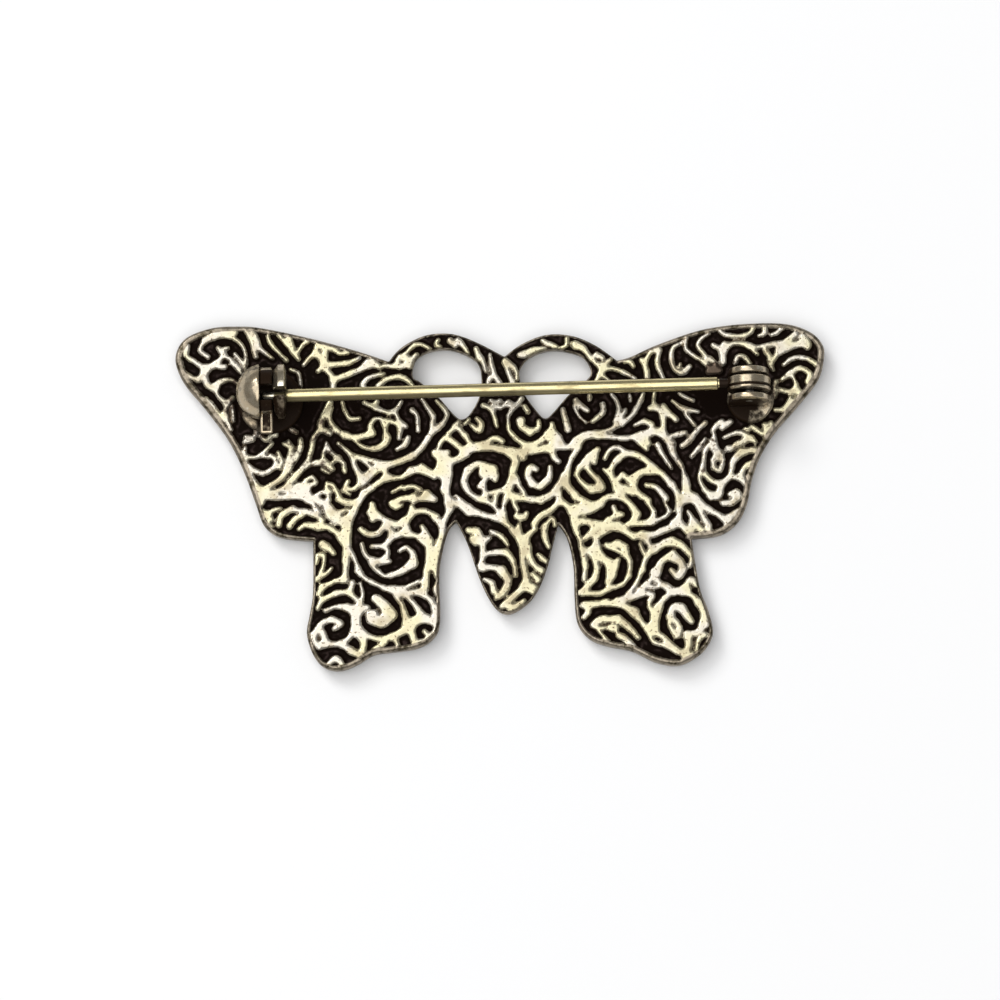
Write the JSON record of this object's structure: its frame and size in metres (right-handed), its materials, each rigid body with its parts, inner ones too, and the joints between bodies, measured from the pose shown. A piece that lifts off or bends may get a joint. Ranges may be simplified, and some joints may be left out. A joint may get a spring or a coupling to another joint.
{
  "type": "butterfly brooch",
  "caption": "Butterfly brooch lying face down, its cast plate pierced beside the feelers and covered in raised scrolls, with a hinged pin stem and a turning ball catch.",
  "frame": {"origin": "under the middle of the plate, on the surface that its plain front rests on", "axes": "+X from the left wing tip to the right one as the pinned side is seen, +Y towards the forewings, +Z out of the pinned side"},
  "size_m": [0.054, 0.0294, 0.0067],
  "materials": {
    "cast_pewter": "antiqued gold-tone pewter, bright worn scrolls over a nearly black brown ground",
    "pin_brass": "polished yellow brass wire",
    "rivet_steel": "plain dull rivet",
    "catch_pewter": "warm grey antiqued plating, polished on its high edges"
  },
  "bodies": {
    "plate": {"butterfly_plate": "cast_pewter", "hinge_rivet": "rivet_steel"},
    "stem": {"pin_stem": "pin_brass"},
    "lock": {"lock_roller": "catch_pewter"}
  },
  "joints": [
    {"name": "pin_hinge", "type": "hinge", "parent": "plate", "child": "stem", "pos_m": [0.0206, 0.0089, 0.0044], "axis": [-0.0152, 0.9999, 0], "range_deg": [0, 90]},
    {"name": "lock_turn", "type": "hinge", "parent": "plate", "child": "lock", "pos_m": [-0.0196, 0.00829, 0.0044], "axis": [-0.9999, -0.0152, 0], "range_deg": [0, 90]}
  ]
}
